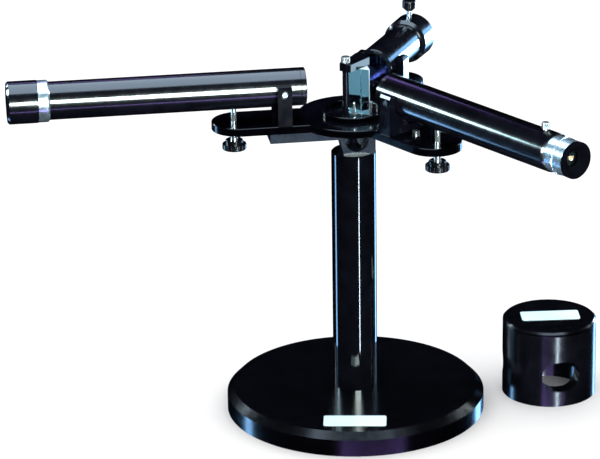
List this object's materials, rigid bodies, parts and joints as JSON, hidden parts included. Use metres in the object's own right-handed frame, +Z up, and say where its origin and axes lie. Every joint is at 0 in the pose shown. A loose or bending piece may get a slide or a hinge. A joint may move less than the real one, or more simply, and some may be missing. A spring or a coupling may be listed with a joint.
{
  "type": "table spectroscope",
  "caption": "Table prism spectroscope: three tubes on a column and round base, glass prism on a small table, swinging telescope arm and a loose round cover",
  "frame": {"origin": "on the column's axis at the underside of the round base", "axes": "+Z up along the column, +X to the right and +Y away from the viewer as the object stands in the picture"},
  "size_m": [0.4505, 0.3161, 0.296],
  "materials": {
    "gloss_black": "gloss black lacquer on turned metal",
    "black_anodised": "satin black anodised aluminium",
    "black_plastic": "moulded black plastic",
    "bright_metal": "fine turned bright metal",
    "chrome": "bright plated, knurled heads",
    "steel": "plain steel fasteners",
    "brass": "turned brass washer",
    "rubber": "soft pad",
    "glass": "polished optical glass, ground ends and edges on the prism",
    "label": "bare satin label plate"
  },
  "bodies": {
    "stand": {"base_plate": "gloss_black", "base_label_plate": "label", "column": "gloss_black", "hub_block": "black_anodised", "spindle": "black_anodised", "swing_washer": "brass", "table_disc": "black_anodised", "table_screws": "steel", "rear_bar": "black_anodised", "prism_platform": "black_anodised", "prism": "glass", "prism_pins": "chrome", "clamp_post": "black_anodised", "collimator_arm": "black_anodised", "collimator_bracket": "black_anodised", "scale_arm": "black_anodised", "scale_bracket": "black_anodised", "fixed_pivots": "steel", "fixed_arm_screws": "steel"},
    "telescope_carrier": {"swing_carrier": "black_anodised", "telescope_arm": "black_anodised", "telescope_bracket": "black_anodised", "swing_pivots": "steel", "swing_arm_screws": "steel"},
    "collimator_body": {"collimator_tube": "black_anodised", "collimator_objective_ring": "black_anodised", "collimator_objective_lens": "glass"},
    "slit_draw_body": {"slit_draw_tube": "bright_metal", "slit_plate": "black_anodised"},
    "slit_cap_body": {"slit_cap": "black_anodised", "slit_glass": "glass"},
    "slit_jaw_body": {"slit_jaw": "steel"},
    "telescope_body": {"telescope_tube": "black_anodised", "telescope_objective_ring": "black_anodised", "telescope_objective_lens": "glass"},
    "focus_body": {"focus_draw_tube": "bright_metal", "reticle_ring": "black_anodised", "eyepiece_lenses": "glass", "eyecup": "black_plastic"},
    "lock_screw_body": {"lock_screw": "chrome"},
    "scale_body": {"scale_tube": "black_anodised", "scale_objective_ring": "black_anodised", "scale_objective_lens": "glass"},
    "scale_cap_body": {"scale_cap": "black_anodised", "scale_glass": "glass"},
    "scale_screw_body": {"scale_screw": "bright_metal", "scale_knob": "black_plastic"},
    "collimator_levelling": {"collimator_levelling_screw": "chrome", "collimator_levelling_knob": "black_plastic"},
    "scale_levelling": {"scale_levelling_screw": "chrome", "scale_levelling_knob": "black_plastic"},
    "telescope_levelling": {"telescope_levelling_screw": "chrome", "telescope_levelling_knob": "black_plastic"},
    "clamp_bar_body": {"clamp_bar": "black_anodised", "clamp_pad": "rubber"},
    "clamp_screw_body": {"clamp_screw": "chrome"},
    "cover": {"cover_body": "gloss_black", "cover_lid": "gloss_black", "cover_label_plate": "label"}
  },
  "joints": [
    {"name": "telescope_swing", "type": "hinge", "parent": "stand", "child": "telescope_carrier", "pos_m": [0, 0, 0.2375], "axis": [0, 0, 1], "range_deg": [-22, 22]},
    {"name": "collimator_levelling_travel", "type": "slide", "parent": "stand", "child": "collimator_levelling", "axis": [0, 0, 1], "range_m": [-0.00095, 0.00095]},
    {"name": "collimator_tilt", "type": "hinge", "parent": "stand", "child": "collimator_body", "pos_m": [-0.05405, -0.01063, 0.26515], "axis": [-0.1374, 0.9905, 0], "range_deg": [-1.5, 1.5]},
    {"name": "scale_levelling_travel", "type": "slide", "parent": "stand", "child": "scale_levelling", "axis": [0, 0, 1], "range_m": [-0.00095, 0.00095]},
    {"name": "scale_tilt", "type": "hinge", "parent": "stand", "child": "scale_body", "pos_m": [0.02302, 0.05002, 0.26515], "axis": [0.9278, -0.373, 0], "range_deg": [-1.5, 1.5]},
    {"name": "telescope_levelling_travel", "type": "slide", "parent": "telescope_carrier", "child": "telescope_levelling", "axis": [0, 0, 1], "range_m": [-0.00095, 0.00095]},
    {"name": "telescope_tilt", "type": "hinge", "parent": "telescope_carrier", "child": "telescope_body", "pos_m": [0.03812, -0.03991, 0.26515], "axis": [-0.7782, -0.628, 0], "range_deg": [-1.5, 1.5]},
    {"name": "slit_draw", "type": "slide", "parent": "collimator_body", "child": "slit_draw_body", "axis": [-0.9905, -0.1374, 0], "range_m": [0, 0.012]},
    {"name": "slit_turn", "type": "hinge", "parent": "slit_draw_body", "child": "slit_cap_body", "pos_m": [-0.2472, -0.03743, 0.26515], "axis": [-0.9905, -0.1374, 0], "range_deg": [0, 90]},
    {"name": "slit_width", "type": "slide", "parent": "slit_draw_body", "child": "slit_jaw_body", "axis": [0.1374, -0.9905, 0], "range_m": [0, 0.001]},
    {"name": "focus", "type": "slide", "parent": "telescope_body", "child": "focus_body", "axis": [0.628, -0.7782, 0], "range_m": [-0.007, 0.01]},
    {"name": "lock_screw_travel", "type": "slide", "parent": "telescope_body", "child": "lock_screw_body", "axis": [0, 0, 1], "range_m": [0, 0.0015]},
    {"name": "scale_focus", "type": "slide", "parent": "scale_body", "child": "scale_cap_body", "axis": [0.373, 0.9278, 0], "range_m": [-0.002, 0.002]},
    {"name": "scale_screw_travel", "type": "slide", "parent": "scale_cap_body", "child": "scale_screw_body", "axis": [0, 0, 1], "range_m": [0, 0.002]},
    {"name": "clamp_screw_travel", "type": "slide", "parent": "stand", "child": "clamp_screw_body", "axis": [0, 0, 1], "range_m": [0, 0.004]},
    {"name": "clamp_bar_lift", "type": "slide", "parent": "stand", "child": "clamp_bar_body", "axis": [0, 0, 1], "range_m": [0, 0.004]},
    {"name": "cover_lift", "type": "slide", "parent": "stand", "child": "cover", "axis": [0, 0, 1], "range_m": [0, 0.35]}
  ],
  "couplings": [
    {"joint": "collimator_tilt", "follows": "collimator_levelling_travel", "rad_per_m": 27.397},
    {"joint": "scale_tilt", "follows": "scale_levelling_travel", "rad_per_m": 27.397},
    {"joint": "telescope_tilt", "follows": "telescope_levelling_travel", "rad_per_m": 27.397},
    {"joint": "slit_width", "follows": "slit_turn", "m_per_rad": 0.00063662},
    {"joint": "clamp_bar_lift", "follows": "clamp_screw_travel", "ratio": 1}
  ]
}
